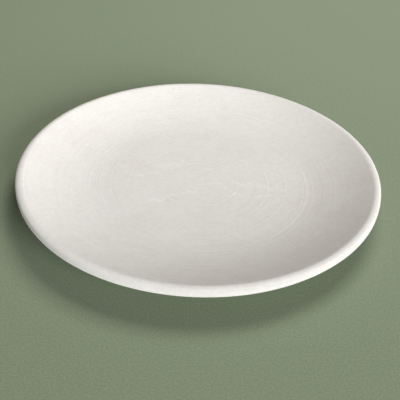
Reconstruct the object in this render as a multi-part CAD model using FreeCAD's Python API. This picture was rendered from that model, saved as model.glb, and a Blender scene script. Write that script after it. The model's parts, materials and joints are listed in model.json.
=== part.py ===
"""Plaster mould for a coupe plate: a thin, round, gently dished cast that stands on a foot ring.

A clay slab is pressed into the dish (or draped over its back), and the dry plaster draws the water out of it.
The cast is laid up in coats, so it is four bonded pieces, each a solid of revolution about +Z:
  face_coat     the fine first coat, with the working face and the whole of the lip
  scrim         the disc of open jute cloth bedded between the coats, which holds a thin cast together
  backing_coat  the second coat, which makes the back
  foot_ring     the ring run on the back, with its root bedded in a groove
The origin is on the surface that the foot stands on, under the middle of the dish. Units are millimetres.
"""

import FreeCAD
import Part
import math
import os

# Driving dimensions.
RIM_DIAMETER = 270.0
WALL = 6.8
WELL_DIAMETER = 140.0  # the flat middle of the dish
WALL_ANGLE = 22.0  # of the straight wall just below the lip, in degrees above level
CURVE_RADIUS = 145.0  # of the face, between the flat middle and the straight wall
BACK_CLEARANCE = 4.7  # under the middle of the back
ROLL_RADIUS = 6.0  # of the lip's inner part, where the wall rolls over
LIP_RADIUS = 2.6  # of its outer part, down to the upright rim
ROLL_ANGLE = 70.0  # above level, of the line through both centres to where the two parts meet
UNDER_EDGE_RADIUS = 1.0  # of the lip's lower edge, from the rim to the back

# The lay-up.
FACE_THICKNESS = 2.75
SCRIM_THICKNESS = 0.75
SCRIM_RADIUS = 114.0
LIP_WIDTH = 12.0  # how far in from the rim the face coat also makes the back
SEAM_CHAMFER = 0.35  # of both edges of the seam that shows on the back

# The foot ring.
FOOT_RADIUS = 81.0  # to the middle of the ring
FOOT_BASE_WIDTH = 7.0
FOOT_ROOT_WIDTH = 12.0
FOOT_BEVEL = 1.2  # of both edges of the base
KEY_WIDTH = 5.0  # of the root's tongue, in its groove in the back
KEY_DEPTH = 1.5

# What follows from them.
RIM_RADIUS = RIM_DIAMETER / 2
WELL_RADIUS = WELL_DIAMETER / 2
ANGLE = math.radians(WALL_ANGLE)
WELL_HEIGHT = BACK_CLEARANCE + WALL  # of the face at the middle of the dish
CURVE_CENTRE = (WELL_RADIUS, WELL_HEIGHT + CURVE_RADIUS)
SEAM_RADIUS = RIM_RADIUS - LIP_WIDTH


def point(r, z):
    """A point of the half section, at radius r and height z."""
    return FreeCAD.Vector(r, 0, z)


def line(a, b):
    return Part.LineSegment(point(*a), point(*b)).toShape()


def arc(a, middle, b):
    return Part.Arc(point(*a), point(*middle), point(*b)).toShape()


def on_curve(depth, angle):
    """A point at this depth under the face where the face slopes at this angle, on the curved part of the dish."""
    radius = CURVE_RADIUS + depth
    return (
        CURVE_CENTRE[0] + radius * math.sin(angle),
        CURVE_CENTRE[1] - radius * math.cos(angle),
    )


def angle_at(depth, r):
    """The slope of the dish at this depth and radius, on the curved part."""
    return math.asin((r - CURVE_CENTRE[0]) / (CURVE_RADIUS + depth))


def height_at(depth, r):
    """The height of the surface that lies this deep under the face, at radius r."""
    if r <= WELL_RADIUS:
        return WELL_HEIGHT - depth
    bend_r, bend_z = on_curve(depth, ANGLE)
    if r <= bend_r:
        return on_curve(depth, angle_at(depth, r))[1]
    return bend_z + (r - bend_r) * math.tan(ANGLE)


def surface_edges(depth, r_from, r_to):
    """The edges of the surface at this depth, from radius r_from out to r_to: level, then curved, then straight."""
    bend_r = on_curve(depth, ANGLE)[0]
    edges = []
    if r_from < WELL_RADIUS:
        edges.append(line((r_from, WELL_HEIGHT - depth), (WELL_RADIUS, WELL_HEIGHT - depth)))
    start, end = max(r_from, WELL_RADIUS), min(r_to, bend_r)
    if start < end:
        first, last = angle_at(depth, start), angle_at(depth, end)
        edges.append(
            arc(on_curve(depth, first), on_curve(depth, (first + last) / 2), on_curve(depth, last))
        )
    if r_to > bend_r:
        start = max(r_from, bend_r)
        edges.append(line((start, height_at(depth, start)), (r_to, height_at(depth, r_to))))
    return edges


def joined(*points):
    """Straight edges through these points."""
    return [line(a, b) for a, b in zip(points, points[1:])]


def spun(edges, turns=1):
    """The solid swept by a closed half section, given as edges, turned once about the Z axis.

    More turns sweep it in that many equal parts and join them, which keeps a slender round such as the lip's
    as several short faces.
    """
    section = Part.Face(Part.Wire(Part.__sortEdges__(edges)))
    centre, up = FreeCAD.Vector(0, 0, 0), FreeCAD.Vector(0, 0, 1)
    sweeps = []
    for index in range(turns):
        start = section.copy()
        start.rotate(centre, up, index * 360 / turns)
        sweeps.append(start.revolve(centre, up, 360 / turns))
    solid = sweeps[0].fuse(sweeps[1:]).Solids[0] if turns > 1 else sweeps[0]
    return solid if solid.Volume > 0 else solid.reversed()


def around(centre, radius, angle):
    """The point of a circle at this angle above level."""
    return (centre[0] + radius * math.cos(angle), centre[1] + radius * math.sin(angle))


def round_edge(centre, radius, start, end):
    """An arc between two angles above level."""
    return arc(
        around(centre, radius, start),
        around(centre, radius, (start + end) / 2),
        around(centre, radius, end),
    )


def outer_edges():
    """Out over the face, over the lip's two arcs, down the upright rim, and in under it as far as the seam."""
    over, meeting, under = math.pi / 2 + ANGLE, math.radians(ROLL_ANGLE), ANGLE - math.pi / 2
    roll_r = RIM_RADIUS - LIP_RADIUS - (ROLL_RADIUS - LIP_RADIUS) * math.cos(meeting)
    roll_centre = (roll_r, height_at(0, roll_r) - ROLL_RADIUS / math.cos(ANGLE))
    lip_centre = around(roll_centre, ROLL_RADIUS - LIP_RADIUS, meeting)
    under_r = RIM_RADIUS - UNDER_EDGE_RADIUS
    under_centre = (under_r, height_at(WALL, under_r) + UNDER_EDGE_RADIUS / math.cos(ANGLE))
    return (
        surface_edges(0, 0, around(roll_centre, ROLL_RADIUS, over)[0])
        + [
            round_edge(roll_centre, ROLL_RADIUS, over, meeting),
            round_edge(lip_centre, LIP_RADIUS, meeting, 0),
            line(around(lip_centre, LIP_RADIUS, 0), around(under_centre, UNDER_EDGE_RADIUS, 0)),
            round_edge(under_centre, UNDER_EDGE_RADIUS, 0, under),
        ]
        + surface_edges(
            WALL, SEAM_RADIUS + SEAM_CHAMFER, around(under_centre, UNDER_EDGE_RADIUS, under)[0]
        )
    )


def face_coat():
    """The face, the lip, the lip's share of the back, and the seat for the scrim and the backing."""
    bed = FACE_THICKNESS + SCRIM_THICKNESS
    seam_bottom = (SEAM_RADIUS, height_at(WALL, SEAM_RADIUS) + SEAM_CHAMFER)
    seam_out = (SEAM_RADIUS + SEAM_CHAMFER, height_at(WALL, SEAM_RADIUS + SEAM_CHAMFER))
    return spun(
        outer_edges()
        + joined(seam_out, seam_bottom, (SEAM_RADIUS, height_at(bed, SEAM_RADIUS)))
        + surface_edges(bed, SCRIM_RADIUS, SEAM_RADIUS)
        + joined(
            (SCRIM_RADIUS, height_at(bed, SCRIM_RADIUS)),
            (SCRIM_RADIUS, height_at(FACE_THICKNESS, SCRIM_RADIUS)),
        )
        + surface_edges(FACE_THICKNESS, 0, SCRIM_RADIUS)
        + joined((0, WELL_HEIGHT - FACE_THICKNESS), (0, WELL_HEIGHT)),
        turns=4,
    )


def scrim():
    """The cloth's outer shape: a thin dished disc that fills its seat under the face coat."""
    bed = FACE_THICKNESS + SCRIM_THICKNESS
    return spun(
        surface_edges(FACE_THICKNESS, 0, SCRIM_RADIUS)
        + joined(
            (SCRIM_RADIUS, height_at(FACE_THICKNESS, SCRIM_RADIUS)),
            (SCRIM_RADIUS, height_at(bed, SCRIM_RADIUS)),
        )
        + surface_edges(bed, 0, SCRIM_RADIUS)
        + joined((0, WELL_HEIGHT - bed), (0, WELL_HEIGHT - FACE_THICKNESS))
    )


def backing_coat():
    """The second coat, from the scrim to the back, with the groove that the foot's root is bedded in."""
    bed = FACE_THICKNESS + SCRIM_THICKNESS
    inner, outer = FOOT_RADIUS - KEY_WIDTH / 2, FOOT_RADIUS + KEY_WIDTH / 2
    groove_top = height_at(WALL, FOOT_RADIUS) + KEY_DEPTH
    seam_in = (SEAM_RADIUS - SEAM_CHAMFER, height_at(WALL, SEAM_RADIUS - SEAM_CHAMFER))
    seam_bottom = (SEAM_RADIUS, height_at(WALL, SEAM_RADIUS) + SEAM_CHAMFER)
    return spun(
        surface_edges(bed, 0, SEAM_RADIUS)
        + joined((SEAM_RADIUS, height_at(bed, SEAM_RADIUS)), seam_bottom, seam_in)
        + surface_edges(WALL, outer, seam_in[0])
        + joined(
            (outer, height_at(WALL, outer)),
            (outer, groove_top),
            (inner, groove_top),
            (inner, height_at(WALL, inner)),
        )
        + surface_edges(WALL, 0, inner)
        + joined((0, WELL_HEIGHT - WALL), (0, WELL_HEIGHT - bed))
    )


def foot_ring():
    """A tapered ring with a flat, bevelled base, whose tongue fills the groove in the back."""
    groove_top = height_at(WALL, FOOT_RADIUS) + KEY_DEPTH
    key_in, key_out = FOOT_RADIUS - KEY_WIDTH / 2, FOOT_RADIUS + KEY_WIDTH / 2
    root_in, root_out = FOOT_RADIUS - FOOT_ROOT_WIDTH / 2, FOOT_RADIUS + FOOT_ROOT_WIDTH / 2
    base_in, base_out = FOOT_RADIUS - FOOT_BASE_WIDTH / 2, FOOT_RADIUS + FOOT_BASE_WIDTH / 2
    bevel = FOOT_BEVEL
    return spun(
        joined(
            (root_in, height_at(WALL, root_in)),
            (base_in, bevel),
            (base_in + bevel, 0),
            (base_out - bevel, 0),
            (base_out, bevel),
            (root_out, height_at(WALL, root_out)),
        )
        + surface_edges(WALL, root_in, key_in)
        + surface_edges(WALL, key_out, root_out)
        + joined(
            (key_in, height_at(WALL, key_in)),
            (key_in, groove_top),
            (key_out, groove_top),
            (key_out, height_at(WALL, key_out)),
        )
    )


PIECES = {
    "face_coat": face_coat,
    "scrim": scrim,
    "backing_coat": backing_coat,
    "foot_ring": foot_ring,
}

os.makedirs("parts", exist_ok=True)
for name, make in PIECES.items():
    shape = make()
    shape.exportStep(f"parts/{name}.step")
    box = shape.optimalBoundingBox()
    print(
        f"{name}: valid {shape.isValid()}, {len(shape.Solids)} solid, {shape.Volume / 1000:.1f} cm3, "
        f"{box.XLength:.2f} x {box.YLength:.2f} x {box.ZLength:.2f} mm, z {box.ZMin:.2f} to {box.ZMax:.2f}"
    )
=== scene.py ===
"""The looks of a plaster plate mould: a thin dished cast with a rounded lip, standing on a foot ring.

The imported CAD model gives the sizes. Each coat of plaster, and the foot, is turned here from a much finer
section than the CAD has, with the relief that a turned and scraped cast shows: turning lines, slow waves,
pinholes and nicks. The jute scrim between the coats is woven yarn by yarn. Lengths are metres and angles are
radians, except where a comment says degrees.
"""

import bmesh
import bpy
import json
import math
import numpy as np
from mathutils import Matrix, Vector


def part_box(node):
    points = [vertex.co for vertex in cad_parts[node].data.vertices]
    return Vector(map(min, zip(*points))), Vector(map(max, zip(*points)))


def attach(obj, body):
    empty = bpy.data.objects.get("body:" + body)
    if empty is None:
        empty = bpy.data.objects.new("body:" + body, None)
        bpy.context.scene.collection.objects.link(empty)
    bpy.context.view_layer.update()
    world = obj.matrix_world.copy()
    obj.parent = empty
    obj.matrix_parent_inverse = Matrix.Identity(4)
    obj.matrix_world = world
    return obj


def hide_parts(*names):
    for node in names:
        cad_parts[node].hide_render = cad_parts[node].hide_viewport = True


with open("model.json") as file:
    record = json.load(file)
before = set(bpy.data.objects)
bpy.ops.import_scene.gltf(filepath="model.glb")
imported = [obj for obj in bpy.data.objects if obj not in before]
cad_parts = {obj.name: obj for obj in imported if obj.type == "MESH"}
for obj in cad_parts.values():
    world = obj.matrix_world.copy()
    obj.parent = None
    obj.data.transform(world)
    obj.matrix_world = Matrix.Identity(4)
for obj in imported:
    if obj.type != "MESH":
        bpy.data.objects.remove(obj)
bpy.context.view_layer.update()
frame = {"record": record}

MM = 0.001

# Sizes from the frame.
MOUNTS = {mount["name"]: mount for mount in frame["record"]["mounts"]}
RIM_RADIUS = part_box("face_coat")[1].x
SEAM_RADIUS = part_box("backing_coat")[1].x
SCRIM_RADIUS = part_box("scrim")[1].x
FOOT_RADIUS = MOUNTS["foot_seat"]["pos_m"][0]
FOOT_ROOT_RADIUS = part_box("foot_ring")[1].x
WELL_HEIGHT = MOUNTS["clay_seat"]["pos_m"][2]
WALL = WELL_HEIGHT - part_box("backing_coat")[0].z
FACE_DEPTH = WELL_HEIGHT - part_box("face_coat")[0].z
BED_DEPTH = WELL_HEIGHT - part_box("scrim")[0].z

# The shape of the dish, as the CAD has it.
WELL_RADIUS = 70 * MM  # of the flat middle
CURVE_RADIUS = 145 * MM  # of the face, between the flat middle and the straight wall
WALL_ANGLE = math.radians(22)
ROLL_RADIUS = 6 * MM  # of the lip's inner part, where the wall rolls over
LIP_RADIUS = 2.6 * MM  # of its outer part, down to the upright rim
ROLL_ANGLE = math.radians(70)  # above level, of the line through both centres to where the two parts meet
UNDER_EDGE_RADIUS = 1 * MM

# The foot's section. Its fillet is only here: the CAD's root is sharp.
FOOT_BASE_WIDTH = 7 * MM
FOOT_EDGE = 1.2 * MM
FOOT_FILLET = 1.6 * MM
KEY_WIDTH = 5 * MM
KEY_DEPTH = 1.5 * MM

SEAM_CHAMFER = 0.3 * MM  # of both edges of the seam on the back
SEAM_STEP = 0.15 * MM  # between the points down the chamfer
HIDDEN_STEP = 5 * MM  # between the points of a surface inside the cast

# Segments round the axis.
FACE_SEGMENTS = 256
BACK_SEGMENTS = 240
FOOT_SEGMENTS = 360


# --- Sections: rows of radius, height and how much of the relief a point takes ---


def height_at(depth, r):
    """The height at radius r of the surface that lies this deep under the face.

    It is level, then curved, then straight.
    """
    radius = CURVE_RADIUS + depth
    bend = WELL_RADIUS + radius * math.sin(WALL_ANGLE)
    across = np.clip(r, WELL_RADIUS, bend) - WELL_RADIUS
    curved = WELL_HEIGHT + CURVE_RADIUS - np.sqrt(radius**2 - across**2)
    return curved + np.maximum(r - bend, 0) * math.tan(WALL_ANGLE)


def along(depth, r_from, r_to, step, weight=1.0):
    """Points along the surface at this depth."""
    count = max(2, round(abs(r_to - r_from) / step) + 1)
    r = np.linspace(r_from, r_to, count)
    return np.column_stack((r, height_at(depth, r), np.full(count, weight)))


def straight(start, end, step, weight=1.0):
    """Points along a straight line, from (r, z) to (r, z)."""
    count = max(2, round(math.dist(start, end) / step) + 1)
    share = np.linspace(0, 1, count)[:, None]
    line = np.array(start) * (1 - share) + np.array(end) * share
    return np.column_stack((line, np.full(count, weight)))


def curve(start, corner, end, count, weight=1.0):
    """Points along a curve that leaves start towards the corner and reaches end from it."""
    share = np.linspace(0, 1, count)[:, None]
    line = (
        np.array(start) * (1 - share) ** 2
        + np.array(corner) * 2 * share * (1 - share)
        + np.array(end) * share**2
    )
    return np.column_stack((line, np.full(count, weight)))


def arc(centre_r, centre_z, radius, start, end, count):
    """Points round an arc, between two angles above level."""
    angle = np.linspace(start, end, count)
    return np.column_stack(
        (centre_r + radius * np.cos(angle), centre_z + radius * np.sin(angle), np.ones(count))
    )


def lip():
    """Over the lip's two arcs, down the upright rim, and round the lower edge to the back."""
    lip_r = RIM_RADIUS - LIP_RADIUS
    between_centres = ROLL_RADIUS - LIP_RADIUS
    roll_r = lip_r - between_centres * math.cos(ROLL_ANGLE)
    roll_z = float(height_at(0, roll_r)) - ROLL_RADIUS / math.cos(WALL_ANGLE)
    lip_z = roll_z + between_centres * math.sin(ROLL_ANGLE)
    under_r = RIM_RADIUS - UNDER_EDGE_RADIUS
    under_z = float(height_at(WALL, under_r)) + UNDER_EDGE_RADIUS / math.cos(WALL_ANGLE)
    roll = arc(roll_r, roll_z, ROLL_RADIUS, math.pi / 2 + WALL_ANGLE, ROLL_ANGLE, 12)
    over = arc(lip_r, lip_z, LIP_RADIUS, ROLL_ANGLE, 0, 14)
    under = arc(under_r, under_z, UNDER_EDGE_RADIUS, 0, WALL_ANGLE - math.pi / 2, 8)
    return section(roll, over, straight(over[-1, :2], under[0, :2], 0.4 * MM), under)


def section(*runs):
    """One section from several runs, without the points where two runs meet twice."""
    points = np.concatenate(runs)
    apart = np.linalg.norm(np.diff(points[:, :2], axis=0), axis=1) > 0.01 * MM
    return points[np.concatenate(([True], apart))]


def seam_bottom():
    """Where the two chamfers of the seam meet, as (r, z)."""
    return SEAM_RADIUS, height_at(WALL, SEAM_RADIUS) + SEAM_CHAMFER


def face_section():
    """Out over the face, round the lip, in along the lip's share of the back, and in over the two seats."""
    edge = lip()
    seam_out = SEAM_RADIUS + SEAM_CHAMFER
    return section(
        along(0, 0, edge[0, 0], 0.62 * MM),
        edge,
        along(WALL, edge[-1, 0], seam_out, 0.9 * MM),
        straight((seam_out, height_at(WALL, seam_out)), seam_bottom(), SEAM_STEP, 0),
        along(BED_DEPTH, SEAM_RADIUS, SCRIM_RADIUS, HIDDEN_STEP, 0),
        along(FACE_DEPTH, SCRIM_RADIUS, 0, HIDDEN_STEP, 0),
    )


def backing_section():
    """Out over the bed, down the seam, and in along the back, with the groove for the foot's tongue."""
    seam_in = SEAM_RADIUS - SEAM_CHAMFER
    inner, outer = FOOT_RADIUS - KEY_WIDTH / 2, FOOT_RADIUS + KEY_WIDTH / 2
    groove_top = height_at(WALL, FOOT_RADIUS) + KEY_DEPTH
    return section(
        along(BED_DEPTH, 0, SEAM_RADIUS, HIDDEN_STEP, 0),
        straight(seam_bottom(), (seam_in, height_at(WALL, seam_in)), SEAM_STEP, 0),
        along(WALL, seam_in, FOOT_ROOT_RADIUS, 0.75 * MM),
        along(WALL, FOOT_ROOT_RADIUS, outer, 1.2 * MM, 0),
        straight((outer, groove_top), (inner, groove_top), KEY_WIDTH, 0),
        along(WALL, inner, 2 * FOOT_RADIUS - FOOT_ROOT_RADIUS, 1.2 * MM, 0),
        along(WALL, 2 * FOOT_RADIUS - FOOT_ROOT_RADIUS, 0, 0.75 * MM),
    )


def foot_section():
    """Round the foot: its tongue, its root's fillet, its tapered sides, and its base with rounded edges."""
    key = KEY_WIDTH / 2
    groove_top = height_at(WALL, FOOT_RADIUS) + KEY_DEPTH
    base = FOOT_BASE_WIDTH / 2
    root = FOOT_ROOT_RADIUS - FOOT_RADIUS

    def side(sign):
        """From the root down to the base, on the outer side (1) or the inner (-1)."""
        top = (FOOT_RADIUS + sign * root, height_at(WALL, FOOT_RADIUS + sign * root))
        corner = (FOOT_RADIUS + sign * base, 0)
        lean = (top[0] - corner[0]) / top[1]
        knee = (corner[0] + lean * FOOT_EDGE, FOOT_EDGE)
        hip_z = top[1] - FOOT_FILLET
        hip = (corner[0] + lean * hip_z, hip_z)
        flare_r = top[0] + sign * FOOT_FILLET
        flare = (flare_r, height_at(WALL, flare_r))
        return np.concatenate(
            (
                curve(flare, top, hip, 7),
                straight(hip, knee, 0.5 * MM),
                curve(knee, corner, (corner[0] - sign * FOOT_EDGE, 0), 7),
            )
        )

    outer, inner = side(1), side(-1)[::-1]
    return section(
        straight((FOOT_RADIUS - key, groove_top), (FOOT_RADIUS + key, groove_top), KEY_WIDTH, 0),
        along(WALL, FOOT_RADIUS + key, outer[0, 0], 1.5 * MM, 0),
        outer,
        straight(outer[-1, :2], inner[0, :2], 0.6 * MM),
        inner,
        along(WALL, inner[-1, 0], FOOT_RADIUS - key, 1.5 * MM, 0),
        straight(
            (FOOT_RADIUS - key, height_at(WALL, FOOT_RADIUS - key)),
            (FOOT_RADIUS - key, groove_top),
            KEY_DEPTH,
            0,
        ),
    )


# --- Turning a section into a mesh ---


def outward(points):
    """The outward direction at each point of a section that runs out over the top and back below."""
    step = np.gradient(points[:, :2], axis=0)
    step /= np.linalg.norm(step, axis=1)[:, None]
    return np.column_stack((-step[:, 1], step[:, 0]))


def lathe(name, points, segments, relief):
    """A closed mesh of the section turned about Z. relief(r, azimuth) is how far the surface stands proud.

    A section that starts and ends on the axis gets a single point there. Any other is a ring, and joins its
    own start.
    """
    azimuth = np.arange(segments) * 2 * math.pi / segments
    on_axis = points[0, 0] == 0
    r, z, weight = points.T
    normal = outward(points)
    proud = relief(r[:, None], azimuth[None, :]) * weight[:, None]
    radius = r[:, None] + normal[:, :1] * proud
    height = z[:, None] + normal[:, 1:] * proud
    grid = np.stack(
        (radius * np.cos(azimuth), radius * np.sin(azimuth), height), axis=-1
    )
    rows = len(points)
    index = np.arange(rows * segments).reshape(rows, segments)
    after = np.roll(index, -1, axis=1)
    if on_axis:
        poles = [grid[0, 0].copy(), grid[-1, 0].copy()]
        index, after = index - segments, after - segments
        vertices = np.concatenate((grid[1:-1].reshape(-1, 3), poles))
        start, end = len(vertices) - 2, len(vertices) - 1
        first, last = index[1], index[-2]
        quads = np.stack((index[1:-2], index[2:-1], after[2:-1], after[1:-2]), axis=-1)
        faces = quads.reshape(-1, 4).tolist()
        faces += [(start, a, b) for a, b in zip(first.tolist(), after[1].tolist())]
        faces += [(end, b, a) for a, b in zip(last.tolist(), after[-2].tolist())]
    else:
        vertices = grid.reshape(-1, 3)
        below, below_after = np.roll(index, -1, axis=0), np.roll(after, -1, axis=0)
        quads = np.stack((index, below, below_after, after), axis=-1)
        faces = quads.reshape(-1, 4).tolist()
    return mesh_object(name, vertices.tolist(), faces)


def mesh_object(name, vertices, faces, crease=math.radians(35)):
    """A smooth-shaded object, with sharp edges where its faces meet at more than crease."""
    mesh = bpy.data.meshes.new(name)
    mesh.from_pydata(vertices, [], faces)
    mesh.shade_smooth()
    mesh.set_sharp_from_angle(angle=crease)
    piece = bpy.data.objects.new(name, mesh)
    bpy.context.scene.collection.objects.link(piece)
    return piece


# --- Relief ---


def slow_waves(rng, r, azimuth, height, lengths):
    """Gentle unevenness: a few waves across the piece, each of one of these lengths."""
    x, y = r * np.cos(azimuth), r * np.sin(azimuth)
    relief = np.zeros(np.broadcast(r, azimuth).shape)
    for length in lengths:
        heading, phase = rng.uniform(0, 2 * math.pi, 2)
        turn = 2 * math.pi / length
        relief += np.cos(turn * (x * math.cos(heading) + y * math.sin(heading)) + phase)
    return relief * height / len(lengths)


def turning_lines(rng, r, azimuth, count, inner, outer, height, widths):
    """Faint ridges and scores round the axis, each a little off centre, and plain on only part of its circle.

    widths is the least and the most half width.
    """
    relief = np.zeros(np.broadcast(r, azimuth).shape)
    for _ in range(count):
        middle = rng.uniform(inner, outer)
        width = rng.uniform(*widths)
        rise = height * rng.uniform(0.25, 1) * rng.choice((-1, 1))
        plainest, runout = rng.uniform(0, 2 * math.pi, 2)
        share = rng.uniform(0, 0.5)
        fade = share + (1 - share) * (0.5 + 0.5 * np.cos(azimuth - plainest)) ** 2
        path = middle + 0.15 * MM * np.cos(azimuth - runout)
        relief += rise * fade * np.exp(-(((r - path) / width) ** 2))
    return relief


def face_relief(r, azimuth):
    rng = np.random.default_rng(11)
    lines = turning_lines(
        rng,
        r,
        azimuth,
        count=90,
        inner=8 * MM,
        outer=128 * MM,
        height=0.014 * MM,
        widths=(0.6 * MM, 1.6 * MM),
    )
    bands = turning_lines(
        rng,
        r,
        azimuth,
        count=9,
        inner=60 * MM,
        outer=105 * MM,
        height=0.05 * MM,
        widths=(2.5 * MM, 5 * MM),
    )
    waves = slow_waves(rng, r, azimuth, height=0.22 * MM, lengths=(0.09, 0.12, 0.17, 0.26))
    fine_waves = slow_waves(rng, r, azimuth, height=0.03 * MM, lengths=(0.021, 0.027, 0.034, 0.042))
    return lines + bands + waves + fine_waves


def back_relief(r, azimuth):
    rng = np.random.default_rng(23)
    scrapes = turning_lines(
        rng,
        r,
        azimuth,
        count=70,
        inner=4 * MM,
        outer=122 * MM,
        height=0.05 * MM,
        widths=(0.8 * MM, 2.2 * MM),
    )
    waves = slow_waves(rng, r, azimuth, height=0.2 * MM, lengths=(0.05, 0.08, 0.12, 0.2))
    return scrapes + waves


def foot_relief(r, azimuth):
    """The base stays on the ground, so the relief only goes inwards."""
    rng = np.random.default_rng(31)
    swell = 0.05 * MM
    scrapes = turning_lines(
        rng,
        r,
        azimuth,
        count=10,
        inner=74 * MM,
        outer=88 * MM,
        height=0.04 * MM,
        widths=(0.8 * MM, 1.6 * MM),
    )
    waves = slow_waves(rng, r, azimuth, height=swell, lengths=(0.02, 0.035, 0.06))
    return np.minimum(scrapes + waves - swell, 0)


# --- Pinholes and nicks ---


def scattered(rng, count, inner, outer, apart):
    """Places (x, y) spread over a ring, none nearer to another than apart."""
    places = []
    while len(places) < count:
        r = math.sqrt(rng.uniform(inner**2, outer**2))
        azimuth = rng.uniform(0, 2 * math.pi)
        here = np.array((r * math.cos(azimuth), r * math.sin(azimuth)))
        if all(np.linalg.norm(here - other) > apart for other in places):
            places.append(here)
    return places


def pitted(piece, pits):
    """Presses pits into the mesh, each (centre, radius, depth), and refines only the faces round them."""
    mesh = piece.data
    centres = np.zeros(len(mesh.polygons) * 3)
    mesh.polygons.foreach_get("center", centres)
    centres = centres.reshape(-1, 3)
    solid = bmesh.new()
    solid.from_mesh(mesh)
    solid.faces.ensure_lookup_table()
    near = []
    for centre, radius, _ in pits:
        away = np.linalg.norm(centres - np.array(centre), axis=1)
        near.append([solid.faces[i] for i in np.flatnonzero(away < 2.5 * radius + 1.6 * MM)])
    for (centre, radius, depth), faces in zip(pits, near):
        press(solid, faces, centre, radius, depth)
    solid.to_mesh(mesh)
    solid.free()


def press(solid, faces, centre, radius, depth):
    """Presses one round pit with soft edges, straight in along the surface's normal.

    The faces round it are cut finer twice, in a wide patch and then in a close one.
    """
    soft_edge = 1.4  # how far out the pit reaches, in its own radii
    inward = -sum((face.normal for face in faces), Vector()).normalized()
    for reach, cuts in ((2.2 * radius + 0.8 * MM, 3), (1.5 * radius + 0.2 * MM, 3)):
        chosen = [f for f in faces if (f.calc_center_median() - centre).length < reach]
        if not chosen:
            chosen = [min(faces, key=lambda f: (f.calc_center_median() - centre).length)]
        edges = list({edge for face in chosen for edge in face.edges})
        made = bmesh.ops.subdivide_edges(solid, edges=edges, cuts=cuts, use_grid_fill=True)
        parts = made["geom_inner"] + made["geom_split"]
        vertices = {part for part in parts if isinstance(part, bmesh.types.BMVert)}
        faces = list({face for vertex in vertices for face in vertex.link_faces})
    for vertex in {vertex for face in faces for vertex in face.verts}:
        away = (vertex.co - centre).length / (soft_edge * radius)
        if away < 1:
            vertex.co += inward * depth * (1 - away**2) ** 1.5


# --- Cloth ---


def woven_disc(name, radius, depth, pitch, half_width, half_thickness):
    """Open plain weave that follows the dish at this depth, cut to a disc.

    Each yarn is a closed, flattened tube.
    """
    rng = np.random.default_rng(5)
    vertices, faces = [], []
    lanes = np.arange(-radius + pitch, radius, pitch)
    for across in (False, True):
        for number, lane in enumerate(lanes):
            reach = math.sqrt(radius**2 - lane**2) - half_width
            if reach < 2 * pitch:
                continue
            count = round(2 * reach / (pitch / 2)) + 1
            run = np.linspace(-reach, reach, count)
            drift = slow_drift(rng, run, 0.12 * pitch)
            wave = half_thickness * np.cos(math.pi * run / pitch + math.pi * (number + across))
            x, y = (lane + drift, run) if across else (run, lane + drift)
            z = height_at(depth, np.hypot(x, y)) + wave
            middle = np.column_stack((x, y, z))
            side = np.array((1.0, 0, 0) if across else (0, 1.0, 0))
            width = half_width * (1 + 0.2 * rng.standard_normal(count).clip(-1, 1))
            add_yarn(vertices, faces, middle, side, width, half_thickness)
    return mesh_object(name, vertices, faces, crease=math.radians(80))


def slow_drift(rng, run, most):
    """A wandering line, as a yarn that isn't held tight takes."""
    length, phase = rng.uniform(0.03, 0.09), rng.uniform(0, 2 * math.pi)
    return most * rng.uniform(0.3, 1) * np.sin(2 * math.pi * run / length + phase)


def add_yarn(vertices, faces, middle, side, width, half_thickness):
    """Adds one yarn: rings of four points down its middle line, with closed ends."""
    start = len(vertices)
    up = np.array((0, 0, half_thickness))
    ring = [middle + side * width[:, None], middle + up, middle - side * width[:, None], middle - up]
    vertices += np.stack(ring, axis=1).reshape(-1, 3).tolist()
    turn = -1 if side[0] else 1
    for i in range(start, start + 4 * (len(middle) - 1), 4):
        for k in range(4):
            corner = (i + k, i + (k + 1) % 4, i + 4 + (k + 1) % 4, i + 4 + k)
            faces.append(corner[::turn])
    end = start + 4 * (len(middle) - 1)
    faces.append(tuple(range(start, start + 4))[:: -turn])
    faces.append(tuple(range(end, end + 4))[::turn])


# --- Materials ---


class Nodes:
    """A material's node tree, to which one call adds a node and sets or links its inputs."""

    def __init__(self, name):
        self.material = bpy.data.materials.new(name)
        self.material.use_nodes = True
        self.tree = self.material.node_tree
        self.tree.nodes.clear()

    def add(self, kind, *values, **settings):
        """values fill the node's inputs in order. settings are its properties, or its inputs by name."""
        node = self.tree.nodes.new(kind)
        named = {}
        for key, value in settings.items():
            if hasattr(node, key):
                setattr(node, key, value)
            else:
                named[key.replace("_", " ")] = value
        for socket, value in zip(node.inputs, values):
            self.fill(socket, value)
        for key, value in named.items():
            self.fill(node.inputs[key], value)
        return node

    def fill(self, socket, value):
        if isinstance(value, bpy.types.NodeSocket):
            self.tree.links.new(value, socket)
        elif value is not None:
            socket.default_value = value

    def math(self, operation, *values):
        return self.add("ShaderNodeMath", *values, operation=operation).outputs[0]

    def noise(self, vector, scale, detail=2.0, roughness=0.5, distortion=0.0):
        node = self.add("ShaderNodeTexNoise", Vector=vector, Scale=scale, Detail=detail)
        self.fill(node.inputs["Roughness"], roughness)
        self.fill(node.inputs["Distortion"], distortion)
        return node.outputs["Fac"]

    def noise_along(self, value, scale, detail=2.0):
        node = self.add("ShaderNodeTexNoise", noise_dimensions="1D", W=value, Scale=scale, Detail=detail)
        return node.outputs["Fac"]

    def between(self, value, low, high, to_low=0.0, to_high=1.0):
        """A smooth step from to_low, where value is low or less, to to_high, where it is high or more."""
        node = self.add("ShaderNodeMapRange", value, low, high, to_low, to_high)
        node.interpolation_type = "SMOOTHSTEP"
        return node.outputs["Result"]

    def mix(self, share, first, second):
        node = self.add("ShaderNodeMix", data_type="RGBA", blend_type="MIX")
        self.fill(node.inputs["Factor"], share)
        self.fill(node.inputs["A"], first)
        self.fill(node.inputs["B"], second)
        return node.outputs["Result"]


def rgb(r, g, b):
    return (r, g, b, 1.0)


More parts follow.
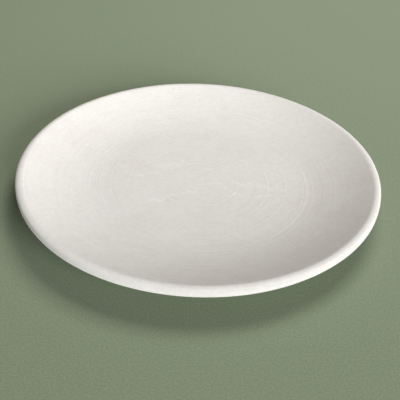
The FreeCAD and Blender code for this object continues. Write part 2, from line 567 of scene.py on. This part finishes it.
def plaster(name, pale, deep, lines, wisps_and_highlight, grain):
    """Dry pottery plaster. pale and deep are its two tones.

    The rest are the strengths of its marks: turning lines, pale wisps together with arcs of painted
    highlight, and grain.
    """
    nodes = Nodes(name)
    place = nodes.add("ShaderNodeTexCoord").outputs["Object"]
    flat = nodes.add("ShaderNodeVectorMath", place, (1, 1, 0), operation="MULTIPLY").outputs["Vector"]
    radius = nodes.add("ShaderNodeVectorMath", flat, operation="LENGTH").outputs["Value"]

    # clouds and patches of tone, where the plaster dried unevenly, and a fine mottle over them
    clouds = nodes.between(nodes.noise(place, 17, 3, 0.5, 0.4), 0.3, 0.7, 0.0, 0.5)
    patches = nodes.between(nodes.noise(place, 75, 4, 0.6), 0.35, 0.7, 0.0, 0.5)
    colour = nodes.mix(nodes.math("ADD", clouds, patches), rgb(*pale), rgb(*deep))
    mottle = nodes.math("SUBTRACT", nodes.noise(place, 330, 4, 0.65), 0.5)
    shade = nodes.math("MULTIPLY_ADD", mottle, 0.16 * grain, 1.0)

    # turning lines, in broken arcs
    ridges = nodes.math("SUBTRACT", nodes.noise_along(radius, 520, 4), 0.5)
    showing = nodes.between(nodes.noise(place, 34, 3, 0.6), 0.42, 0.66)
    ridges = nodes.math("MULTIPLY", ridges, nodes.math("MULTIPLY_ADD", showing, 0.9, 0.1))
    shade = nodes.math("MULTIPLY_ADD", ridges, 0.16 * lines, shade)

    # painted highlight: thin pale arcs where the wall starts to rise, standing in for light caught on low
    # ridges there; and pale wisps across the middle
    pale_marks = nodes.math("MAXIMUM", painted_highlight_arcs(nodes, place, radius), wisps(nodes, place, flat))
    # a pale colour mixed in over the arcs of painted highlight and over the wisps
    colour = nodes.mix(nodes.math("MULTIPLY", pale_marks, wisps_and_highlight), colour, rgb(0.97, 0.96, 0.945))

    # fine grain and stray dark specks
    fine = nodes.noise(place, 1500, 2, 0.6)
    most = 0.035 * grain
    shade = nodes.math("MULTIPLY", shade, nodes.between(fine, 0.2, 0.8, 1 - most, 1 + most))
    cells = nodes.add("ShaderNodeTexVoronoi", Vector=place, Scale=85)
    chance = nodes.add("ShaderNodeSeparateColor", cells.outputs["Color"]).outputs[0]
    speck = nodes.between(cells.outputs["Distance"], 0.03, 0.065, 1.0, 0.0)
    speck = nodes.math("MULTIPLY", speck, nodes.math("GREATER_THAN", chance, 0.78))
    shade = nodes.math("MULTIPLY_ADD", speck, -0.22, shade)
    colour = nodes.add("ShaderNodeVectorMath", colour, operation="SCALE", Scale=shade)

    # relief too fine for the mesh
    height = nodes.math("MULTIPLY_ADD", fine, 0.6 * grain, nodes.math("MULTIPLY", ridges, 1.2 * lines))
    height = nodes.math("MULTIPLY_ADD", nodes.noise(place, 480, 3, 0.6), 1.1 * grain, height)
    bump = nodes.add("ShaderNodeBump", Strength=1.0, Distance=0.04 * MM, Height=height).outputs["Normal"]
    roughness = nodes.between(nodes.noise(place, 140, 3), 0.3, 0.7, 0.84, 0.95)

    shader = nodes.add("ShaderNodeBsdfPrincipled", Base_Color=colour.outputs["Vector"], Normal=bump)
    nodes.fill(shader.inputs["Roughness"], roughness)
    shader.inputs["IOR"].default_value = 1.5
    shader.inputs["Specular IOR Level"].default_value = 0.3
    shader.inputs["Diffuse Roughness"].default_value = 0.6
    nodes.add("ShaderNodeOutputMaterial", shader.outputs["BSDF"])
    return nodes.material


# The radius and the half width of each arc of painted highlight.
HIGHLIGHT_ARCS = ((80.5 * MM, 0.9 * MM), (84 * MM, 1.6 * MM), (88.5 * MM, 0.7 * MM))


def painted_highlight_arcs(nodes, place, radius):
    """Painted highlight: thin pale arcs, close together, a little outside the flat middle, with gaps,
    standing in for light caught on low ridges.
    """
    wander = nodes.math("MULTIPLY_ADD", nodes.noise(place, 24, 2), 3 * MM, radius)
    arcs = None
    for middle, width in HIGHLIGHT_ARCS:
        off = nodes.math("ABSOLUTE", nodes.math("SUBTRACT", wander, middle))
        band = nodes.between(off, 0.0, width, 1.0, 0.0)
        arcs = band if arcs is None else nodes.math("MAXIMUM", arcs, band)
    gaps = nodes.between(nodes.noise(place, 19, 3, 0.6), 0.5, 0.64, 0.0, 0.6)
    return nodes.math("MULTIPLY", arcs, gaps)


# How far back a wisp crosses the middle, how much it leans, and where in the noise it starts.
STRANDS = (
    (14 * MM, -0.35, 1.0),
    (2 * MM, -0.1, 2.0),
    (-14 * MM, 0.3, 3.0),
    (-4 * MM, -0.25, 4.0),
    (9 * MM, -0.5, 5.0),
    (24 * MM, 0.1, 6.0),
)


def wisps(nodes, place, flat):
    """Thin, broken pale strands that wander across the middle of the piece from one side to the other."""
    split = nodes.add("ShaderNodeSeparateXYZ", flat)
    x, y = split.outputs["X"], split.outputs["Y"]
    strands = None
    for level, lean, seed in STRANDS:
        swing = nodes.noise_along(nodes.math("ADD", x, seed), 42, 2)
        line = nodes.math("MULTIPLY_ADD", nodes.math("SUBTRACT", swing, 0.5), 30 * MM, level)
        line = nodes.math("MULTIPLY_ADD", x, lean, line)
        off = nodes.math("ABSOLUTE", nodes.math("SUBTRACT", y, line))
        there = nodes.between(nodes.noise_along(nodes.math("ADD", x, seed * 7), 28, 2), 0.46, 0.58)
        strand = nodes.math("MULTIPLY", nodes.between(off, 0.0, 2.3 * MM, 0.9, 0.0), there)
        strands = strand if strands is None else nodes.math("MAXIMUM", strands, strand)
    reach = nodes.add("ShaderNodeVectorMath", flat, operation="LENGTH").outputs["Value"]
    strands = nodes.math("MULTIPLY", strands, nodes.between(reach, 0.045, 0.075, 1.0, 0.0))
    return nodes.math("MULTIPLY", strands, nodes.between(nodes.noise(place, 260, 3, 0.6), 0.35, 0.6))


def jute(name):
    """Loose bast yarn, twisted, with plaster caught in it."""
    nodes = Nodes(name)
    place = nodes.add("ShaderNodeTexCoord").outputs["Object"]
    stretched = nodes.add("ShaderNodeVectorMath", place, (1, 1, 3), operation="MULTIPLY").outputs[0]
    fibres = nodes.noise(stretched, 1500, 4, 0.7, 0.6)
    colour = nodes.mix(nodes.between(fibres, 0.3, 0.7), rgb(0.30, 0.20, 0.10), rgb(0.52, 0.39, 0.22))
    caked = nodes.between(nodes.noise(place, 240, 3, 0.6), 0.48, 0.62)
    colour = nodes.mix(nodes.math("MULTIPLY", caked, 0.75), colour, rgb(0.78, 0.75, 0.7))
    bump = nodes.add("ShaderNodeBump", Strength=0.8, Distance=0.08 * MM, Height=fibres).outputs["Normal"]
    shader = nodes.add("ShaderNodeBsdfPrincipled", Base_Color=colour, Roughness=0.9, Normal=bump)
    shader.inputs["Sheen Weight"].default_value = 0.2
    nodes.add("ShaderNodeOutputMaterial", shader.outputs["BSDF"])
    return nodes.material


def paper(name):
    """A plain pale sheet with a slight tooth."""
    nodes = Nodes(name)
    place = nodes.add("ShaderNodeTexCoord").outputs["Object"]
    tooth = nodes.noise(place, 750, 3, 0.7)
    colour = nodes.mix(nodes.between(tooth, 0.3, 0.7), rgb(0.24, 0.30, 0.20), rgb(0.31, 0.375, 0.265))
    bump = nodes.add("ShaderNodeBump", Strength=0.5, Distance=0.05 * MM, Height=tooth).outputs["Normal"]
    shader = nodes.add("ShaderNodeBsdfPrincipled", Base_Color=colour, Roughness=0.9, Normal=bump)
    nodes.add("ShaderNodeOutputMaterial", shader.outputs["BSDF"])
    return nodes.material


# --- The pieces ---


def finish_piece(piece, node, material):
    """Gives a piece its material, hides the CAD node it stands for, and hangs the piece under the root body.
    """
    piece.data.materials.append(material)
    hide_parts(node)
    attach(piece, "root")


def on_face(place):
    return Vector((*place, float(height_at(0, np.hypot(*place)))))


def on_back(place):
    return Vector((*place, float(height_at(WALL, np.hypot(*place)))))


def make_face_coat(material):
    piece = lathe("face_coat_cast", face_section(), FACE_SEGMENTS, face_relief)
    rng = np.random.default_rng(3)
    pits = [
        (on_face(place), rng.uniform(0.25, 0.5) * MM, rng.uniform(0.2, 0.45) * MM)
        for place in scattered(rng, count=26, inner=5 * MM, outer=126 * MM, apart=8 * MM)
    ]
    pitted(piece, pits)
    finish_piece(piece, "face_coat", material)


def make_backing_coat(material):
    piece = lathe("backing_coat_cast", backing_section(), BACK_SEGMENTS, back_relief)
    rng = np.random.default_rng(4)
    inside = scattered(rng, count=26, inner=3 * MM, outer=68 * MM, apart=6 * MM)
    outside = scattered(rng, count=40, inner=92 * MM, outer=120 * MM, apart=6 * MM)
    pits = [
        (on_back(place), rng.uniform(0.3, 0.8) * MM, rng.uniform(0.3, 0.6) * MM)
        for place in inside + outside
    ]
    pitted(piece, pits)
    finish_piece(piece, "backing_coat", material)


def make_foot_ring(material):
    piece = lathe("foot_ring_run", foot_section(), FOOT_SEGMENTS, foot_relief)
    rng = np.random.default_rng(6)
    nicks = []  # in both edges of the base, by turns
    for number in range(22):
        azimuth = rng.uniform(0, 2 * math.pi)
        r = FOOT_RADIUS + (FOOT_BASE_WIDTH / 2) * (1 if number % 2 else -1)
        centre = Vector((r * math.cos(azimuth), r * math.sin(azimuth), 0.3 * MM))
        nicks.append((centre, rng.uniform(0.5, 1.3) * MM, rng.uniform(0.2, 0.5) * MM))
    pitted(piece, nicks)
    finish_piece(piece, "foot_ring", material)


def make_scrim(material):
    depth = (FACE_DEPTH + BED_DEPTH) / 2
    piece = woven_disc(
        "scrim_weave",
        SCRIM_RADIUS,
        depth,
        pitch=3 * MM,
        half_width=0.66 * MM,
        half_thickness=0.17 * MM,
    )
    finish_piece(piece, "scrim", material)


# --- Camera, floor and light ---

FLOOR_RADIUS = 4.5
FLOOR_CORNERS = 96

CAMERA_ELEVATION = math.radians(34.14)
CAMERA_DISTANCE = 4.5 * RIM_RADIUS
CAMERA_LENS = 72.95  # focal length in mm
CAMERA_SENSOR = 36.0  # width in mm
CAMERA_PAN = math.radians(-0.16)
CAMERA_TILT = math.radians(-1.98)
CAMERA_ROLL = math.radians(-2.29)
CAMERA_TARGET = Vector((0, 0, 20.8 * MM))  # the middle of the lip's circle


def direction(azimuth, elevation):
    """Out from the object: azimuth is from +X towards +Y, so the camera is at -90 degrees."""
    level = math.cos(elevation)
    return Vector((level * math.cos(azimuth), level * math.sin(azimuth), math.sin(elevation)))


def make_camera():
    """From the front and above, aimed a little below the middle of the lip's circle, and rolled slightly."""
    back = direction(-math.pi / 2, CAMERA_ELEVATION)
    right = Vector((1, 0, 0))
    up = back.cross(right)
    axes = Matrix((right, up, back)).transposed()
    axes = Matrix.Rotation(CAMERA_PAN, 3, up) @ axes
    axes = Matrix.Rotation(CAMERA_TILT, 3, axes.col[0]) @ axes
    axes = Matrix.Rotation(CAMERA_ROLL, 3, -axes.col[2]) @ axes
    data = bpy.data.cameras.new("camera")
    data.lens = CAMERA_LENS
    data.sensor_width = CAMERA_SENSOR
    data.clip_start = 0.01
    camera = bpy.data.objects.new("camera", data)
    camera.matrix_world = Matrix.Translation(CAMERA_TARGET + back * CAMERA_DISTANCE) @ axes.to_4x4()
    bpy.context.scene.collection.objects.link(camera)
    bpy.context.scene.camera = camera


def make_floor(material):
    """A round sheet, wide enough that its edge makes a level horizon."""
    turn = np.linspace(0, 2 * math.pi, FLOOR_CORNERS, endpoint=False)
    corners = np.column_stack(
        (FLOOR_RADIUS * np.cos(turn), FLOOR_RADIUS * np.sin(turn), np.zeros(FLOOR_CORNERS))
    )
    floor = mesh_object("floor", corners.tolist(), [tuple(range(FLOOR_CORNERS))])
    floor.data.materials.append(material)


def softbox(name, azimuth, elevation, distance, width, height, power, colour):
    """A soft rectangular light that faces the middle of the dish. Angles are in degrees."""
    data = bpy.data.lights.new(name, "AREA")
    data.shape = "RECTANGLE"
    data.size, data.size_y = width, height
    data.energy = power
    data.color = colour
    light = bpy.data.objects.new(name, data)
    away = direction(math.radians(azimuth), math.radians(elevation))
    light.location = away * distance
    light.rotation_euler = away.to_track_quat("Z", "Y").to_euler()
    bpy.context.scene.collection.objects.link(light)


# The world's strength near the horizon and overhead, and where it changes, as the sine of the elevation.
WORLD_LOW, WORLD_HIGH = 0.5, 0.04
WORLD_LOW_END, WORLD_HIGH_START = 0.2, 0.45


def make_world():
    """Pale all round at eye height, as a studio's walls are, and dim overhead."""
    world = bpy.data.worlds.new("studio")
    world.use_nodes = True
    tree = world.node_tree
    background = tree.nodes["Background"]
    background.inputs["Color"].default_value = rgb(1.0, 0.97, 0.92)
    toward = tree.nodes.new("ShaderNodeTexCoord").outputs["Generated"]
    split = tree.nodes.new("ShaderNodeSeparateXYZ")
    fall = tree.nodes.new("ShaderNodeMapRange")
    fall.interpolation_type = "SMOOTHSTEP"
    fall.inputs["From Min"].default_value = WORLD_LOW_END
    fall.inputs["From Max"].default_value = WORLD_HIGH_START
    fall.inputs["To Min"].default_value = WORLD_LOW
    fall.inputs["To Max"].default_value = WORLD_HIGH
    tree.links.new(toward, split.inputs["Vector"])
    tree.links.new(split.outputs["Z"], fall.inputs["Value"])
    tree.links.new(fall.outputs["Result"], background.inputs["Strength"])
    bpy.context.scene.world = world


def make_light():
    """A far, low window at the front right, which shapes the dish, and a small high one at the back right."""
    softbox(
        "window",
        azimuth=-57,
        elevation=18,
        distance=10,
        width=5.6,
        height=4.0,
        power=985,
        colour=(1.0, 1.0, 1.0),
    )
    softbox(
        "high_window",
        azimuth=60,
        elevation=60,
        distance=1.3,
        width=0.7,
        height=0.7,
        power=8.8,
        colour=(1.0, 0.97, 0.9),
    )
    make_world()
    bpy.context.scene.view_settings.view_transform = "Standard"


make_camera()
make_floor(paper("pale_paper"))
make_light()

face_plaster = plaster(
    "face_plaster",
    pale=(0.88, 0.865, 0.845),
    deep=(0.845, 0.825, 0.80),
    # strength of the pale wisps and of the arcs of painted highlight
    lines=1.0,
    wisps_and_highlight=0.7,
    grain=1.1,
)
back_plaster = plaster(
    "back_plaster",
    pale=(0.85, 0.83, 0.80),
    deep=(0.79, 0.76, 0.71),
    lines=1.6,
    wisps_and_highlight=0.0,
    grain=1.6,
)
make_face_coat(face_plaster)
make_backing_coat(back_plaster)
make_foot_ring(back_plaster)
make_scrim(jute("jute"))
